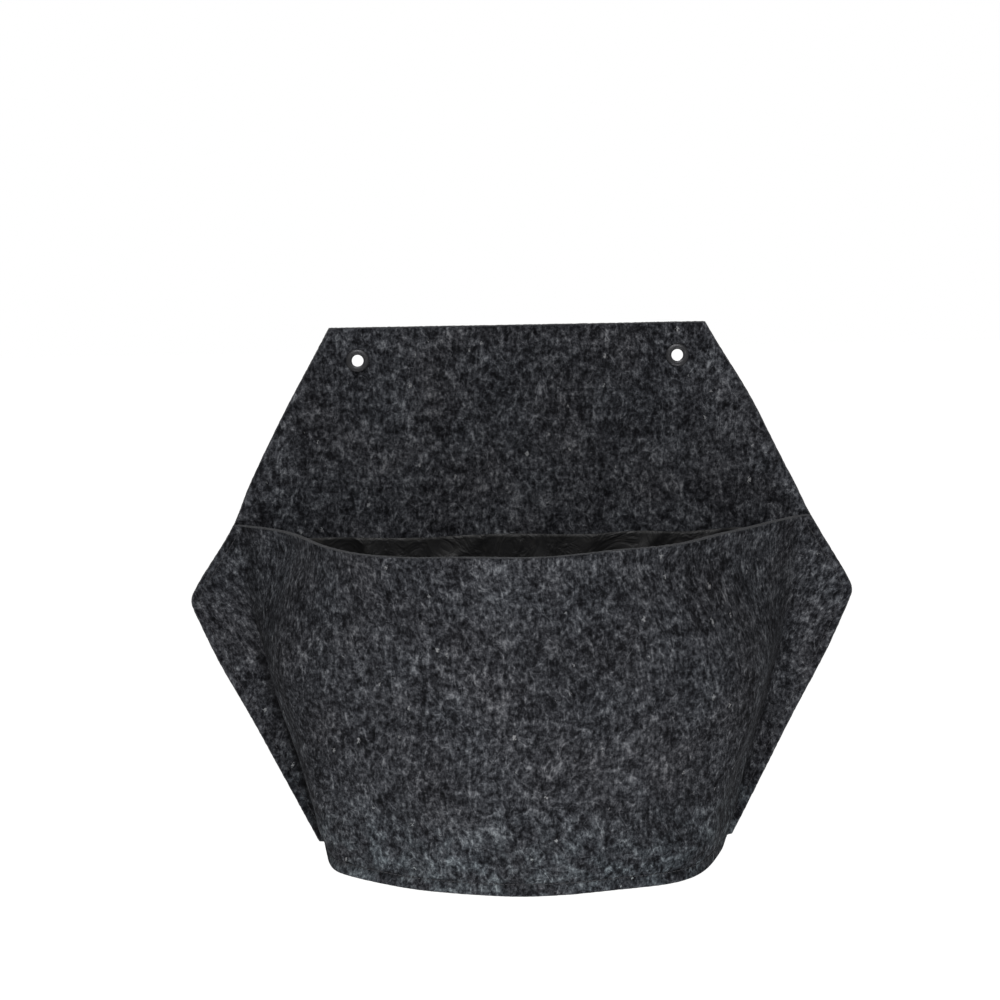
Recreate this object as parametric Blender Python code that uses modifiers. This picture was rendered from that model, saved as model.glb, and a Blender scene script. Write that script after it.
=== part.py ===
"""A felt wall pocket planter: a hexagonal felt back that hangs on a wall by two eyelets, with a bulged pocket.

The origin is midway between the eyelets on the wall plane. +X is to the viewer's right, the pocket stands out
towards -Y, and +Z is up. Run it with: blender --background --python part.py
"""

import math

import bmesh
import bpy
from mathutils import Vector

# Felt outline, in metres
TOP_Z = 0.022                  # top edge of the back, above the eyelets
VERTEX_Z = -0.164              # widest level of the hexagon
LIP_Z = -0.336                 # lowest edge of the back, under the bottom seam
VERTEX_HALF_WIDTH = 0.2317     # where the two straight sides would meet
VERTEX_CUT = 0.0052            # taken off that point by its rounding
SLOPE_ABOVE = 0.557            # half width lost per metre above the widest level
SLOPE_BELOW = 0.515            # and below it
TOP_CORNER_CUT = 0.003

# Pocket
RIM_Z = -0.113
BASE_Z = -0.3265               # top of the bottom gusset
RIM_CREASE_HALF_WIDTH = 0.1935 # where the pocket leaves the flat side flange
BASE_CREASE_HALF_WIDTH = 0.1365
CREASE_BOW = 0.010
RIM_DEPTH = 0.143              # from the wall to the front face
BASE_DEPTH = 0.131
DEPTH_BOW = 0.012
FORWARD_SAG = 0.050            # how far the loaded pocket drops for each metre away from the wall
SECTION_STEPS = 12             # steps from a crease to the middle of the front

# Pocket section: handles of the curve from the crease to the middle, as shares of half width and depth
RIM_SIDE_HANDLE = (0.853, 0.516)
BASE_SIDE_HANDLE = (0.952, 0.687)
RIM_FRONT_HANDLE = 0.517
BASE_FRONT_HANDLE = 0.733

# Sheet and thread sizes
FELT = 0.0035
GAP = 0.0003                   # between pieces that touch
FILM = 0.0006
FILM_INSET = 0.0055            # film to the pocket's outer face, measured level
FILM_TOP_BELOW_RIM = 0.010
THREAD_RADIUS = 0.0005
SIDE_SEAM_MARGIN = 0.0035
BASE_SEAM_BELOW_BASE = 0.0020
BACK_GROOVE_DEPTH = 0.0014
BACK_GROOVE_WIDTH = 0.0022
BACK_SEAM_HALF_LENGTH = 0.126

# Eyelets, sizes from the wall plane towards the front
EYELET_X = 0.110
EYELET_HOLE_RADIUS = 0.0040
BARREL_RADIUS = 0.0047
FLANGE_RADIUS = 0.0080
FLANGE_FRONT = 0.0050
FLANGE_EDGE = 0.0044
ROLL_RADIUS = 0.0065
ROLL_REAR = 0.0003
ROLL_FRONT = 0.0010
WASHER_RADIUS = 0.0078
WASHER_THICKNESS = 0.0006
RECESS_RADIUS = 0.0081
RECESS_DEPTH = 0.0022
TURN_STEPS = 32

FLANGE_FACE_Y = -(2 * FELT + GAP)
CUTTER_OVERLAP = 0.005
VERTEX_OFFSETS = (0.040, 0.020, 0.012, 0.006, 0.0, -0.006, -0.012, -0.020, -0.040)
UPRIGHT = (math.radians(90), 0.0, 0.0)  # turns local +Z to -Y and local +Y to +Z


def clear_scene():
    for obj in list(bpy.data.objects):
        bpy.data.objects.remove(obj)


def new_collection(name):
    collection = bpy.data.collections.new(name)
    bpy.context.scene.collection.children.link(collection)
    return collection


def principled(name, colour, roughness, metallic=0.0):
    material = bpy.data.materials.new(name)
    material.use_nodes = True
    shader = material.node_tree.nodes["Principled BSDF"]
    shader.inputs["Base Color"].default_value = (*colour, 1.0)
    shader.inputs["Roughness"].default_value = roughness
    shader.inputs["Metallic"].default_value = metallic
    return material


def mix(a, b, share):
    return a + (b - a) * share


def drop(z):
    """How far a height is from the rim (0) to the gusset (1)."""
    return min(max((RIM_Z - z) / (RIM_Z - BASE_Z), 0.0), 1.0)


def outline_half_width(z):
    slope = SLOPE_ABOVE if z > VERTEX_Z else SLOPE_BELOW
    return VERTEX_HALF_WIDTH - math.hypot(slope * (z - VERTEX_Z), VERTEX_CUT)


def sagged(x, y, z):
    """A point of the pocket, lowered in step with its distance in front of the side flanges."""
    return (x, y, z + FORWARD_SAG * (y - FLANGE_FACE_Y))


def crease_half_width(z):
    straight = mix(RIM_CREASE_HALF_WIDTH, BASE_CREASE_HALF_WIDTH, drop(z))
    return straight + CREASE_BOW * math.sin(math.pi * drop(z))


def pocket_depth(z):
    """Depth of the pocket's outer face in front of its flange face."""
    straight = mix(RIM_DEPTH, BASE_DEPTH, drop(z))
    return straight + DEPTH_BOW * math.sin(math.pi * drop(z)) + FLANGE_FACE_Y


def bezier(points, t):
    a, b, c, d = (Vector(p) for p in points)
    s = 1.0 - t
    return a * s**3 + b * 3 * s * s * t + c * 3 * s * t * t + d * t**3


def pocket_section(z):
    """Outer face of the pocket at one height, as (x, y) from the left crease to the right one."""
    half = crease_half_width(z)
    depth = pocket_depth(z)
    share = drop(z)
    side_x = mix(RIM_SIDE_HANDLE[0], BASE_SIDE_HANDLE[0], share) * half
    side_y = mix(RIM_SIDE_HANDLE[1], BASE_SIDE_HANDLE[1], share) * depth
    front_x = mix(RIM_FRONT_HANDLE, BASE_FRONT_HANDLE, share) * half
    handles = [(half, 0.0), (side_x, -side_y), (front_x, -depth), (0.0, -depth)]
    right = [bezier(handles, step / SECTION_STEPS) for step in range(SECTION_STEPS + 1)]
    left = [Vector((-p.x, p.y)) for p in right[:-1]]
    return [p + Vector((0.0, FLANGE_FACE_Y)) for p in left + right[::-1]]


def outward(a, b):
    """Unit normal of a step of a section that runs from left to right."""
    step = (b - a).normalized()
    return Vector((step.y, -step.x))


def offset_section(points, distance):
    """Moves a section outwards by a distance, keeping its walls parallel."""
    normals = [outward(a, b) for a, b in zip(points, points[1:])]
    before = [normals[0]] + normals
    after = normals + [normals[-1]]
    return [p + (m + n) * (distance / (1.0 + m.dot(n))) for p, m, n in zip(points, before, after)]


def to_plane(inner, end, y):
    """The point where the line through a section's last step reaches a plane parallel to the wall."""
    step = end - inner
    return end + step * ((y - end.y) / step.y)


def inside_loop(z, inset):
    """Closed loop inside the pocket at one height, flat along the back panel."""
    points = offset_section(pocket_section(z), -inset)
    back_y = -(FELT + GAP)
    first = to_plane(points[1], points[0], back_y)
    last = to_plane(points[-2], points[-1], back_y)
    return [first] + points[1:-1] + [last]


def row_heights(top, bottom):
    """Heights for rows of faces, closer together around the widest level."""
    even = [mix(RIM_Z, BASE_Z, n / 8) for n in range(9)]
    near = [VERTEX_Z + offset for offset in VERTEX_OFFSETS]
    spaced = [z for z in even if all(abs(z - other) > 0.010 for other in near)]
    inner = [z for z in near + spaced + [BASE_Z] if bottom + 0.003 < z < top - 0.003]
    return [top] + sorted(set(inner), reverse=True) + [bottom]


def add_mesh(name, bm, collection, material):
    mesh = bpy.data.meshes.new(name)
    bm.to_mesh(mesh)
    bm.free()
    obj = bpy.data.objects.new(name, mesh)
    obj.data.materials.append(material)
    collection.objects.link(obj)
    return obj


def add_grid(bm, rows):
    """Joins rows of points, top row first and each from left to right, into faces that look outwards."""
    grid = [[bm.verts.new(p) for p in row] for row in rows]
    for upper, lower in zip(grid, grid[1:]):
        for n in range(len(upper) - 1):
            bm.faces.new((upper[n], lower[n], lower[n + 1], upper[n + 1]))
    return grid


def solidify(obj, thickness):
    modifier = obj.modifiers.new("thickness", "SOLIDIFY")
    modifier.thickness = thickness
    modifier.offset = -1.0
    modifier.use_even_offset = True
    return modifier


def smooth(obj, angle=40.0):
    obj.data.shade_smooth()
    obj.data.set_sharp_from_angle(angle=math.radians(angle))


def make_front_panel(collection, felt):
    rows = []
    for z in row_heights(RIM_Z, LIP_Z):
        edge = outline_half_width(z)
        middle = (edge + crease_half_width(z)) / 2
        pocket = [sagged(p.x, p.y, z) for p in pocket_section(z)]
        left = [(-edge, FLANGE_FACE_Y, z), (-middle, FLANGE_FACE_Y, z)]
        right = [(middle, FLANGE_FACE_Y, z), (edge, FLANGE_FACE_Y, z)]
        rows.append(left + pocket + right)
    bm = bmesh.new()
    add_grid(bm, rows)
    panel = add_mesh("front_panel", bm, collection, felt)
    solidify(panel, FELT)
    smooth(panel)
    return panel


def make_tray(name, loops, collection, material, thickness):
    """A vessel skin from closed level loops: walls through all of them, and a floor across the last one."""
    bm = bmesh.new()
    closed = [loop + [loop[0]] for loop in loops]
    grid = add_grid(bm, closed)
    bmesh.ops.remove_doubles(bm, verts=bm.verts, dist=0.00001)
    rim = [v for v in grid[-1] if v.is_valid]
    bm.faces.new(rim)
    bmesh.ops.recalc_face_normals(bm, faces=bm.faces)
    tray = add_mesh(name, bm, collection, material)
    solidify(tray, thickness)
    smooth(tray)
    return tray


def make_base_panel(collection, felt):
    """The bottom gusset, its edge turned down all round against the front and back panels."""
    loop = inside_loop(BASE_Z, FELT + GAP)
    low = [sagged(p.x, p.y, LIP_Z) for p in loop]
    high = [sagged(p.x, p.y, BASE_Z) for p in loop]
    return make_tray("base_panel", [low, high], collection, felt, FELT)


def make_moisture_liner(collection, film):
    heights = row_heights(RIM_Z - FILM_TOP_BELOW_RIM, BASE_Z + GAP)
    loops = [[sagged(p.x, p.y, z) for p in inside_loop(z, FILM_INSET)] for z in heights]
    return make_tray("moisture_liner", loops, collection, film, FILM)


def curve_object(name, points, collection, closed=False, flat=False):
    curve = bpy.data.curves.new(name, "CURVE")
    curve.dimensions = "2D" if flat else "3D"
    spline = curve.splines.new("POLY")
    spline.points.add(len(points) - 1)
    for target, point in zip(spline.points, points):
        target.co = (*point, 1.0)
    spline.use_cyclic_u = closed
    obj = bpy.data.objects.new(name, curve)
    collection.objects.link(obj)
    return obj


def curve_to_mesh(obj, collection):
    """Replaces a curve by the same closed mesh, so that it can be cut."""
    bpy.context.view_layer.update()
    depsgraph = bpy.context.evaluated_depsgraph_get()
    mesh = bpy.data.meshes.new_from_object(obj.evaluated_get(depsgraph))
    bm = bmesh.new()
    bm.from_mesh(mesh)
    bmesh.ops.remove_doubles(bm, verts=bm.verts, dist=0.00001)
    bm.to_mesh(mesh)
    bm.free()
    name = obj.name
    place = obj.matrix_world.copy()
    bpy.data.objects.remove(obj)
    solid = bpy.data.objects.new(name, mesh)
    solid.matrix_world = place
    collection.objects.link(solid)
    return solid


def hexagon_outline():
    """The back panel's cut edge as (x, z), once round."""
    heights = row_heights(TOP_Z - TOP_CORNER_CUT, LIP_Z)
    right = [(outline_half_width(z), z) for z in heights]
    top = (outline_half_width(TOP_Z) - TOP_CORNER_CUT, TOP_Z)
    right = [top] + right
    return right + [(-x, z) for x, z in reversed(right)]


def make_back_panel(collection, felt):
    points = [(x, z, 0.0) for x, z in hexagon_outline()]
    outline = curve_object("back_panel", points, collection, closed=True, flat=True)
    outline.data.fill_mode = "BOTH"
    outline.data.extrude = FELT / 2
    outline.location = (0.0, -FELT / 2, 0.0)
    outline.rotation_euler = UPRIGHT
    panel = curve_to_mesh(outline, collection)
    panel.data.materials.append(felt)
    return panel


def as_cutter(obj, cutters):
    for collection in list(obj.users_collection):
        collection.objects.unlink(obj)
    cutters.objects.link(obj)
    obj.hide_render = True
    obj.display_type = "WIRE"
    return obj


def cut(target, cutter):
    modifier = target.modifiers.new(cutter.name, "BOOLEAN")
    modifier.operation = "DIFFERENCE"
    modifier.solver = "EXACT"
    modifier.object = cutter


def round_cutter(name, x, radius, depth, cutters):
    """A cylinder that enters the felt from the wall side."""
    length = depth + CUTTER_OVERLAP
    centre = (x, CUTTER_OVERLAP - length / 2, 0.0)
    bpy.ops.mesh.primitive_cylinder_add(
        vertices=TURN_STEPS, radius=radius, depth=length, location=centre, rotation=UPRIGHT
    )
    bpy.context.object.name = name
    return as_cutter(bpy.context.object, cutters)


def cut_eyelet_seat(panel, side, x, cutters):
    hole_radius = BARREL_RADIUS + GAP
    cut(panel, round_cutter(side + "_eyelet_hole", x, hole_radius, FELT + CUTTER_OVERLAP, cutters))
    cut(panel, round_cutter(side + "_washer_recess", x, RECESS_RADIUS, RECESS_DEPTH, cutters))


def base_seam_z():
    return BASE_Z - BASE_SEAM_BELOW_BASE


def cut_back_groove(panel, cutters):
    """The line that the rear seam pulls into the felt."""
    depth = BACK_GROOVE_DEPTH + CUTTER_OVERLAP
    size = (2 * (BACK_SEAM_HALF_LENGTH + 2 * GAP), depth, BACK_GROOVE_WIDTH)
    bpy.ops.mesh.primitive_cube_add(size=1.0)
    groove = bpy.context.object
    groove.name = "back_seam_groove"
    for vertex in groove.data.vertices:
        vertex.co = [vertex.co[n] * size[n] for n in range(3)]
    groove.location = (0.0, depth / 2 - BACK_GROOVE_DEPTH, base_seam_z())
    cut(panel, as_cutter(groove, cutters))


def make_thread(name, points, collection, thread):
    obj = curve_object(name, points, collection)
    obj.data.bevel_depth = THREAD_RADIUS
    obj.data.bevel_resolution = 2
    obj.data.use_fill_caps = True
    obj.data.materials.append(thread)
    return obj


def make_side_seam(name, side, collection, thread):
    y = FLANGE_FACE_Y - GAP - THREAD_RADIUS
    heights = row_heights(RIM_Z - SIDE_SEAM_MARGIN, LIP_Z + SIDE_SEAM_MARGIN)
    points = [(side * (outline_half_width(z) - SIDE_SEAM_MARGIN), y, z) for z in heights]
    return make_thread(name, points, collection, thread)


def make_base_front_seam(collection, thread):
    path = offset_section(pocket_section(BASE_Z), GAP + THREAD_RADIUS)[1:-1]
    points = [sagged(p.x, p.y, base_seam_z()) for p in path]
    return make_thread("base_front_seam", points, collection, thread)


def make_base_back_seam(collection, thread):
    y = -BACK_GROOVE_DEPTH + GAP + THREAD_RADIUS
    ends = (-BACK_SEAM_HALF_LENGTH, BACK_SEAM_HALF_LENGTH)
    points = [(x, y, base_seam_z()) for x in ends]
    return make_thread("base_back_seam", points, collection, thread)


def make_turned(name, profile, x, collection, metal):
    """A ring turned from a closed profile of (radius, distance in front of the wall)."""
    bm = bmesh.new()
    verts = [bm.verts.new((radius, 0.0, height)) for radius, height in profile]
    for n, vert in enumerate(verts):
        bm.edges.new((vert, verts[(n + 1) % len(verts)]))
    ring = add_mesh(name, bm, collection, metal)
    turn = ring.modifiers.new("turn", "SCREW")
    turn.steps = TURN_STEPS
    turn.render_steps = TURN_STEPS
    turn.use_merge_vertices = True
    turn.merge_threshold = 0.00001
    ring.location = (x, 0.0, 0.0)
    ring.rotation_euler = UPRIGHT
    return ring


def make_eyelet(name, x, collection, metal):
    seat = FELT + GAP
    profile = [
        (0.0052, FLANGE_FRONT),
        (0.0072, FLANGE_FRONT),
        (FLANGE_RADIUS, FLANGE_EDGE),
        (FLANGE_RADIUS, seat),
        (BARREL_RADIUS, seat),
        (BARREL_RADIUS, ROLL_FRONT),
        (ROLL_RADIUS, ROLL_FRONT),
        (ROLL_RADIUS, ROLL_REAR + GAP),
        (BARREL_RADIUS, ROLL_REAR),
        (EYELET_HOLE_RADIUS, ROLL_REAR + 2 * GAP),
        (EYELET_HOLE_RADIUS, FLANGE_EDGE),
        (0.0045, 0.0048),
    ]
    return make_turned(name, profile, x, collection, metal)


def make_washer(name, x, collection, metal):
    rear = ROLL_FRONT + GAP
    front = rear + WASHER_THICKNESS
    inner = BARREL_RADIUS + GAP
    profile = [(inner, front), (WASHER_RADIUS, front), (WASHER_RADIUS, rear), (inner, rear)]
    return make_turned(name, profile, x, collection, metal)


def main():
    clear_scene()
    planter = new_collection("felt_wall_pocket_planter")
    cutters = new_collection("cutters")
    felt = principled("charcoal_felt", (0.040, 0.042, 0.048), 0.95)
    thread = principled("polyester_thread", (0.030, 0.031, 0.035), 0.60)
    film = principled("black_film", (0.012, 0.012, 0.013), 0.38)
    metal = principled("blackened_metal", (0.060, 0.060, 0.065), 0.42, metallic=1.0)

    back = make_back_panel(planter, felt)
    cut_back_groove(back, cutters)
    make_front_panel(planter, felt)
    make_base_panel(planter, felt)
    make_moisture_liner(planter, film)
    make_base_front_seam(planter, thread)
    make_base_back_seam(planter, thread)
    for side, sign in (("left", -1), ("right", 1)):
        x = sign * EYELET_X
        cut_eyelet_seat(back, side, x, cutters)
        make_side_seam(side + "_side_seam", sign, planter, thread)
        make_eyelet(side + "_eyelet", x, planter, metal)
        make_washer(side + "_eyelet_washer", x, planter, metal)


main()
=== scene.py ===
"""Looks for a charcoal felt wall pocket planter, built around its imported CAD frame.

Every length is in metres, in the frame of the CAD: +X to the viewer's right, +Y into the wall, +Z up.
"""

import math

import bpy
import numpy as np
from mathutils import Matrix, Vector


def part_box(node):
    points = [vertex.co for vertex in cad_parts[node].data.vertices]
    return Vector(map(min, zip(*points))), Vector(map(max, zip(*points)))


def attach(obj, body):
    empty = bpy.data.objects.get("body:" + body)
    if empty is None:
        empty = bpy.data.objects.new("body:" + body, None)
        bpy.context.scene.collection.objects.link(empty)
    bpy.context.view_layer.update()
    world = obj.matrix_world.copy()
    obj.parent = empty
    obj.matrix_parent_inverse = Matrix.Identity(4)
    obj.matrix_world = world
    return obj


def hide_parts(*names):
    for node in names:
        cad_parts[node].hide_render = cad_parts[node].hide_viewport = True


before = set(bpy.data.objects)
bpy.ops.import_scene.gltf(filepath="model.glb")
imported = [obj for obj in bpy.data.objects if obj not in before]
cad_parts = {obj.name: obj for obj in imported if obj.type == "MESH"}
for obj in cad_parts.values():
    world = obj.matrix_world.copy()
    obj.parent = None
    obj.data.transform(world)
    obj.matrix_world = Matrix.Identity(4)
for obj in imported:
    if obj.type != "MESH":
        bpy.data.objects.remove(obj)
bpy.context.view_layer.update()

BACK_LOW, BACK_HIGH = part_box("back_panel")
FRONT_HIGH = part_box("front_panel")[1]
BASE_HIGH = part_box("base_panel")[1]
LINER_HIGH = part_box("moisture_liner")[1]

FELT = BACK_HIGH.y - BACK_LOW.y
TOP_Z = BACK_HIGH.z
LIP_Z = BACK_LOW.z
RIM_Z = FRONT_HIGH.z
BASE_Z = BASE_HIGH.z
FLANGE_FACE_Y = FRONT_HIGH.y - FELT
FORWARD_SAG = 0.050
VERTEX_Z = -0.1639
POINT_ROUND = 0.004
POINT_SLOPE = 0.53
POINT_LIFT = 0.35
BOW_REACH = 0.030
PINCH_REACH = 0.028
LOW_BOW_Z = -0.208
HIGH_BOW_Z = -0.030
PINCH_Z = -0.116

# Half widths of the hexagon at its top, its points and its lip
TOP_HALF = 0.128
POINT_HALF = 0.230
LIP_HALF = 0.144
# Half widths between the creases, where the pocket leaves the flat flanges
RIM_CREASE = 0.1945
LIP_CREASE = 0.1407
# Level sections of the pocket's outer face, as (x, depth in front of the wall)
CREASE_DEPTH = 0.0073
RIM_FRONT = 0.1475
LIP_FRONT = 0.1315
RIM_SECTION = [
    (-RIM_CREASE, CREASE_DEPTH), (-0.163, 0.029), (-0.134, 0.093), (-0.091, 0.1375), (-0.030, RIM_FRONT),
    (0.050, 0.135), (0.114, 0.096), (0.165, 0.038), (RIM_CREASE, CREASE_DEPTH),
]
LIP_SECTION = [
    (-LIP_CREASE, CREASE_DEPTH), (-0.132, 0.066), (-0.125, 0.081), (-0.059, 0.120), (0.000, LIP_FRONT),
    (0.072, 0.120), (0.115, 0.093), (0.129, 0.058), (LIP_CREASE, CREASE_DEPTH),
]


def ease(t):
    t = np.clip(t, 0.0, 1.0)
    return t * t * (3 - 2 * t)


def smoothed(values, sigma):
    """Gaussian smoothing of evenly spaced rows, with both ends held by mirroring about them."""
    reach = max(int(3 * sigma), 1)
    kernel = np.exp(-0.5 * (np.arange(-reach, reach + 1) / max(sigma, 1e-6)) ** 2)
    kernel /= kernel.sum()
    first = 2 * values[0] - values[reach:0:-1]
    last = 2 * values[-1] - values[-2 : -reach - 2 : -1]
    padded = np.concatenate([first, values, last])
    columns = [np.convolve(c, kernel, "valid") for c in np.atleast_2d(padded.T)]
    return np.array(columns).T.reshape(values.shape)


def bump_at(distance, width):
    return np.exp(-((distance / width) ** 2))


def drop(z):
    return np.clip((RIM_Z - z) / (RIM_Z - LIP_Z), 0.0, 1.0)


def hexagon_half(z, low_bow, high_bow, pinch):
    """Half width of the hexagon, its points rounded, its sides a little bowed and pinched at the rim."""
    z = np.asarray(z, float)
    reach = POINT_ROUND * POINT_SLOPE
    away = np.hypot(z - VERTEX_Z, POINT_ROUND)
    above = (POINT_HALF - TOP_HALF) / (TOP_Z - VERTEX_Z)
    below = (POINT_HALF - LIP_HALF) / (VERTEX_Z - LIP_Z)
    slope = np.where(z > VERTEX_Z, above, below)
    straight = POINT_HALF + reach * POINT_LIFT - slope * away
    bow = low_bow * bump_at(z - LOW_BOW_Z, BOW_REACH) + high_bow * bump_at(z - HIGH_BOW_Z, BOW_REACH)
    return straight + bow - pinch * bump_at(z - PINCH_Z, PINCH_REACH)


def left_outline(z):
    return hexagon_half(z, low_bow=0.0018, high_bow=0.0008, pinch=0.0044)


def right_outline(z):
    return hexagon_half(z, low_bow=0.0017, high_bow=0.0022, pinch=0.0018)


def crease_half(z, bow, swing):
    """Half width at a crease: straight from rim to lip, bowed out, and swung in towards the lip."""
    t = drop(np.asarray(z, float))
    straight = RIM_CREASE * (1 - t) + LIP_CREASE * t
    return straight + bow * np.sin(math.pi * t) + swing * np.sin(2 * math.pi * t)


def left_crease(z):
    return crease_half(z, bow=0.0038, swing=0.0032)


def right_crease(z):
    return crease_half(z, bow=0.0051, swing=0.0013)


def through(points, count):
    """Evenly spaced points on a smooth curve through a few points (centripetal Catmull-Rom)."""
    p = np.array(points, float)
    p = np.concatenate([[2 * p[0] - p[1]], p, [2 * p[-1] - p[-2]]])
    knots = np.concatenate([[0], np.cumsum(np.linalg.norm(np.diff(p, axis=0), axis=1) ** 0.5)])
    dense = []
    for n in range(1, len(p) - 2):
        t0, t1, t2, t3 = knots[n - 1 : n + 3]
        t = np.linspace(t1, t2, 60)[:, None]
        a1 = (t1 - t) / (t1 - t0) * p[n - 1] + (t - t0) / (t1 - t0) * p[n]
        a2 = (t2 - t) / (t2 - t1) * p[n] + (t - t1) / (t2 - t1) * p[n + 1]
        a3 = (t3 - t) / (t3 - t2) * p[n + 1] + (t - t2) / (t3 - t2) * p[n + 2]
        b1 = (t2 - t) / (t2 - t0) * a1 + (t - t0) / (t2 - t0) * a2
        b2 = (t3 - t) / (t3 - t1) * a2 + (t - t1) / (t3 - t1) * a3
        dense.append((t2 - t) / (t2 - t1) * b1 + (t - t1) / (t2 - t1) * b2)
    return resample(np.concatenate(dense), count)


def resample(line, count):
    steps = np.linalg.norm(np.diff(line, axis=0), axis=1)
    along = np.concatenate([[0], np.cumsum(steps)])
    at = np.linspace(0, along[-1], count)
    return np.stack([np.interp(at, along, line[:, k]) for k in range(line.shape[1])], axis=1)


def normal_section(points, sigma):
    """A section as 241 even steps, its half widths and depths given as shares of the largest."""
    line = through(points, 241)
    corner = ease((-line[:, :1] - 0.085) / 0.030)
    line = smoothed(line, sigma) * corner + smoothed(line, 7) * (1 - corner)
    depth = line[:, 1] + FLANGE_FACE_Y
    return np.stack([line[:, 0] / abs(points[0][0]), depth / depth.max()], axis=1)


RIM_SHAPE = normal_section(RIM_SECTION, 7)
LIP_SHAPE = normal_section(LIP_SECTION, 2.5)
RIM_DEPTH = RIM_FRONT + FLANGE_FACE_Y
LIP_DEPTH = LIP_FRONT + FLANGE_FACE_Y
BELLY = 0.011
BOXY_BELOW = 0.42


def ripple(a, b, wavelength, seed, waves=7):
    """A smooth wandering value of about -1 to 1 over two coordinates."""
    rng = np.random.default_rng(seed)
    total = np.zeros_like(a)
    for _ in range(waves):
        angle = rng.uniform(0, 2 * math.pi)
        length = wavelength * rng.uniform(0.7, 1.5)
        phase = rng.uniform(0, 2 * math.pi)
        total += np.cos(2 * math.pi * (a * math.cos(angle) + b * math.sin(angle)) / length + phase)
    return total / math.sqrt(waves)


def pocket_line(z):
    """The pocket's outer face at one height, from the left crease to the right one, as (x, y)."""
    share = drop(z)
    boxy = float(ease(share / BOXY_BELOW))
    shape = RIM_SHAPE * (1 - boxy) + LIP_SHAPE * boxy
    half = np.where(shape[:, 0] < 0, left_crease(z), right_crease(z))
    depth = RIM_DEPTH * (1 - share) + LIP_DEPTH * share + BELLY * math.sin(math.pi * share) ** 0.9
    return np.stack([shape[:, 0] * half, FLANGE_FACE_Y - shape[:, 1] * depth], axis=1)


def front_line(z, flange_steps, pocket_steps):
    """The front panel's outer face at one height, softly creased, with the distance along the felt."""
    pocket = pocket_line(z)
    left_edge = [-left_outline(z), FLANGE_FACE_Y]
    right_edge = [right_outline(z), FLANGE_FACE_Y]
    line = np.concatenate([[left_edge], pocket, [right_edge]])
    steps = np.linalg.norm(np.diff(line, axis=0), axis=1)
    along = np.concatenate([[0], np.cumsum(steps)])
    count = int(along[-1] / 0.0005)
    even = np.linspace(0, along[-1], count)
    dense = np.stack([np.interp(even, along, line[:, k]) for k in range(2)], axis=1)
    tight = smoothed(dense, 4.0)
    loose = smoothed(dense, 8.0)
    side = ease((dense[:, :1] + 0.05) / 0.1)
    soft = tight * (1 - side) + loose * side
    soft[:, 1] = np.minimum(soft[:, 1], FLANGE_FACE_Y)
    at = np.concatenate(
        [
            np.linspace(0, along[1], flange_steps + 1)[:-1],
            np.linspace(along[1], along[-2], pocket_steps + 1),
            np.linspace(along[-2], along[-1], flange_steps + 1)[1:],
        ]
    )
    placed = np.stack([np.interp(at, even, soft[:, k]) for k in range(2)], axis=1)
    return placed, at - along[-1] / 2


def settle(points):
    """Natural lie of the loaded pocket: it drops towards the front and its walls wander a little."""
    p = np.array(points, float).reshape(-1, 3)
    forward = FLANGE_FACE_Y - p[:, 1]
    loose = ease((forward - 0.004) / 0.035)
    away = ease((RIM_Z + 0.004 - p[:, 2]) / 0.02) * 0.6 + 0.4
    near_lip = ease((p[:, 2] - LIP_Z) / 0.03) * 0.8 + 0.2
    push = 0.0016 * ripple(p[:, 0], p[:, 2], 0.095, 3) + 0.0007 * ripple(p[:, 0], p[:, 2], 0.040, 5)
    p[:, 1] -= push * loose * away * near_lip
    side = 0.0012 * ripple(p[:, 1], p[:, 2], 0.080, 8)
    p[:, 0] += side * loose * near_lip
    overhang = 0.0010 * bump_at(forward - 0.010, 0.0075) * bump_at(p[:, 2] + 0.258, 0.042)
    p[:, 0] -= overhang * ease(-p[:, 0] / 0.05)
    p[:, 2] -= FORWARD_SAG * forward
    p[:, 2] += 0.0006 * ripple(p[:, 0], p[:, 1], 0.09, 11) * loose
    return p


def grid_faces(rows, columns, closed=False):
    """Quads of a grid of points given row by row."""
    n = np.arange(rows * columns).reshape(rows, columns)
    right = np.roll(n, -1, axis=1)
    if not closed:
        n, right = n[:, :-1], right[:, :-1]
    return np.stack([n[:-1], n[1:], right[1:], right[:-1]], axis=-1).reshape(-1, 4)


def vertex_normals(points, faces):
    """Area-weighted normals of quads."""
    a, b, c, d = (points[faces[:, k]] for k in range(4))
    face = np.cross(c - a, d - b)
    total = np.zeros_like(points)
    for k in range(4):
        np.add.at(total, faces[:, k], face)
    return total / np.maximum(np.linalg.norm(total, axis=1, keepdims=True), 1e-12)


def boundary_loops(faces):
    """Closed runs of vertices along the open edges, each with the surface on its left."""
    edges = {}
    for face in faces.tolist():
        for a, b in zip(face, face[1:] + face[:1]):
            if a != b:
                edges[(a, b)] = True
    after = {a: b for a, b in edges if (b, a) not in edges}
    loops = []
    while after:
        start, here = after.popitem()
        loop = [start]
        while here != start:
            loop.append(here)
            here = after.pop(here)
        loops.append(loop)
    return loops


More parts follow.
